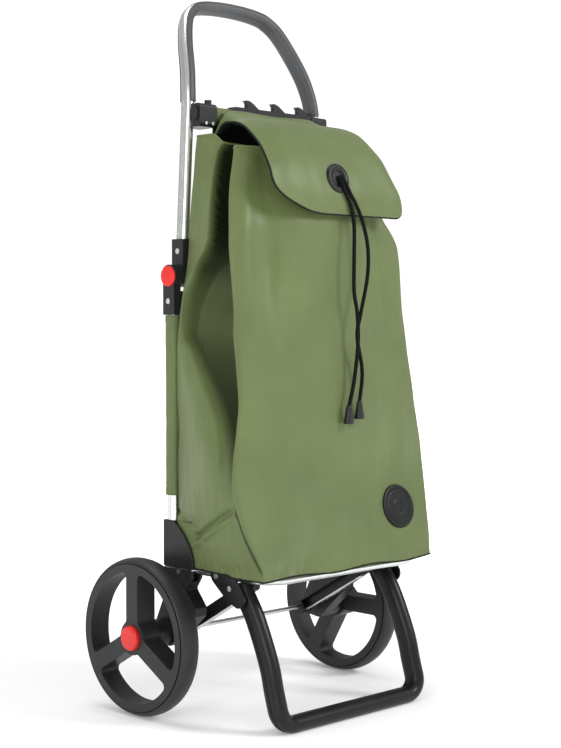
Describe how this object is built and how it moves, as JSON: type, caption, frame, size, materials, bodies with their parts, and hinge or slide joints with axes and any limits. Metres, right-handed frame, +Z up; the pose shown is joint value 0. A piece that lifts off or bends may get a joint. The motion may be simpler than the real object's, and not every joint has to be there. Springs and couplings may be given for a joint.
{
  "type": "folding shopping trolley",
  "caption": "Two-wheeled folding shopping trolley: aluminium tube frame, folding handle loop and platform, foot loop, braces and a tall green fabric bag with cover flap.",
  "frame": {"origin": "on the ground in the middle of the bounding box, seen from above", "axes": "+X right seen from the front, -Y front, +Z up"},
  "size_m": [0.452, 0.335, 1.0157],
  "materials": {
    "green_fabric": "coated woven fabric with a soft sheen",
    "dark_piping": "dark bound edge",
    "bright_aluminium": "bright anodised, grooved",
    "steel": "zinc plated",
    "grip_rubber": "soft matt rubber",
    "tyre_rubber": "matt rubber",
    "red_plastic": "glossy",
    "black_plastic": "satin moulded",
    "black_paint": "satin powder coat",
    "badge_plastic": "moulded, plain rings",
    "cord": "braided cord"
  },
  "bodies": {
    "lower_frame": {"lower_tube_left": "bright_aluminium", "lower_tube_right": "bright_aluminium", "back_cross_tube": "bright_aluminium", "corner_guard_left": "black_plastic", "corner_guard_right": "black_plastic", "guard_trim_left": "bright_aluminium", "guard_trim_right": "bright_aluminium", "wheel_bracket_left": "black_plastic", "wheel_bracket_right": "black_plastic", "axle_rod": "steel", "hinge_lower_housing_left": "black_plastic", "hinge_lower_housing_right": "black_plastic", "lower_rivets": "steel", "tube_sleeve_left": "green_fabric", "tube_sleeve_right": "green_fabric", "platform_pins": "steel", "bag_body": "green_fabric", "badge": "badge_plastic", "draw_cords": "cord", "cord_ends": "black_plastic"},
    "upper_frame": {"upper_tube_loop": "bright_aluminium", "handle_grip": "grip_rubber", "hinge_upper_housing_left": "black_plastic", "hinge_upper_housing_right": "black_plastic", "hinge_pins": "steel", "upper_rivets": "steel", "crossbar_tube": "bright_aluminium", "crossbar_end_caps": "black_plastic", "crossbar_clamp_left": "black_plastic", "crossbar_clamp_right": "black_plastic", "clamp_screws": "steel", "crossbar_sleeve": "green_fabric", "hook_strip": "black_plastic"},
    "flap": {"bag_flap": "green_fabric", "flap_piping": "dark_piping", "grommet": "black_plastic"},
    "platform": {"platform_tube": "bright_aluminium", "plate_pins": "steel"},
    "foot": {"foot_loop": "black_paint", "foot_side_plate_left": "black_paint", "foot_side_plate_right": "black_paint", "brace_pins": "steel"},
    "brace": {"brace_left": "black_paint", "brace_right": "black_paint"},
    "wheel_left": {"wheel_rim_left": "black_plastic", "tyre_left": "tyre_rubber"},
    "wheel_right": {"wheel_rim_right": "black_plastic", "tyre_right": "tyre_rubber"},
    "cap_left": {"hub_cap_left": "red_plastic"},
    "cap_right": {"hub_cap_right": "red_plastic"},
    "button_left": {"hinge_button_left": "red_plastic"},
    "button_right": {"hinge_button_right": "red_plastic"}
  },
  "joints": [
    {"name": "handle_fold", "type": "hinge", "parent": "lower_frame", "child": "upper_frame", "pos_m": [0, 0.045, 0.611], "axis": [-1, 0, 0], "range_deg": [0, 165], "deforming": ["bag_body"]},
    {"name": "flap_lift", "type": "hinge", "parent": "upper_frame", "child": "flap", "pos_m": [0, 0.011, 0.8435], "axis": [-1, 0, 0], "range_deg": [0, 100], "deforming": ["draw_cords"]},
    {"name": "platform_fold", "type": "hinge", "parent": "lower_frame", "child": "platform", "pos_m": [0, 0.0245, 0.2], "axis": [-1, 0, 0], "range_deg": [0, 80], "deforming": ["badge"]},
    {"name": "foot_fold", "type": "hinge", "parent": "platform", "child": "foot", "pos_m": [0, -0.0505, 0.202], "axis": [1, 0, 0], "range_deg": [0, 100]},
    {"name": "brace_swing", "type": "hinge", "parent": "lower_frame", "child": "brace", "pos_m": [0, 0.0575, 0.11], "axis": [-1, 0, 0], "range_deg": [0, 35.2]},
    {"name": "wheel_spin_left", "type": "hinge", "parent": "lower_frame", "child": "wheel_left", "pos_m": [-0.203, 0.0575, 0.11], "axis": [1, 0, 0], "continuous": true},
    {"name": "wheel_spin_right", "type": "hinge", "parent": "lower_frame", "child": "wheel_right", "pos_m": [0.203, 0.0575, 0.11], "axis": [1, 0, 0], "continuous": true},
    {"name": "hub_cap_press_left", "type": "slide", "parent": "wheel_left", "child": "cap_left", "axis": [1, 0, 0], "range_m": [0, 0.0025]},
    {"name": "hub_cap_press_right", "type": "slide", "parent": "wheel_right", "child": "cap_right", "axis": [-1, 0, 0], "range_m": [0, 0.0025]},
    {"name": "hinge_button_press_left", "type": "slide", "parent": "lower_frame", "child": "button_left", "axis": [1, 0, 0], "range_m": [0, 0.0015]},
    {"name": "hinge_button_press_right", "type": "slide", "parent": "lower_frame", "child": "button_right", "axis": [-1, 0, 0], "range_m": [0, 0.0015]}
  ],
  "couplings": [
    {"joint": "foot_fold", "follows": "platform_fold", "ratio": 1.25},
    {"joint": "brace_swing", "follows": "platform_fold", "ratio": 0.44}
  ]
}
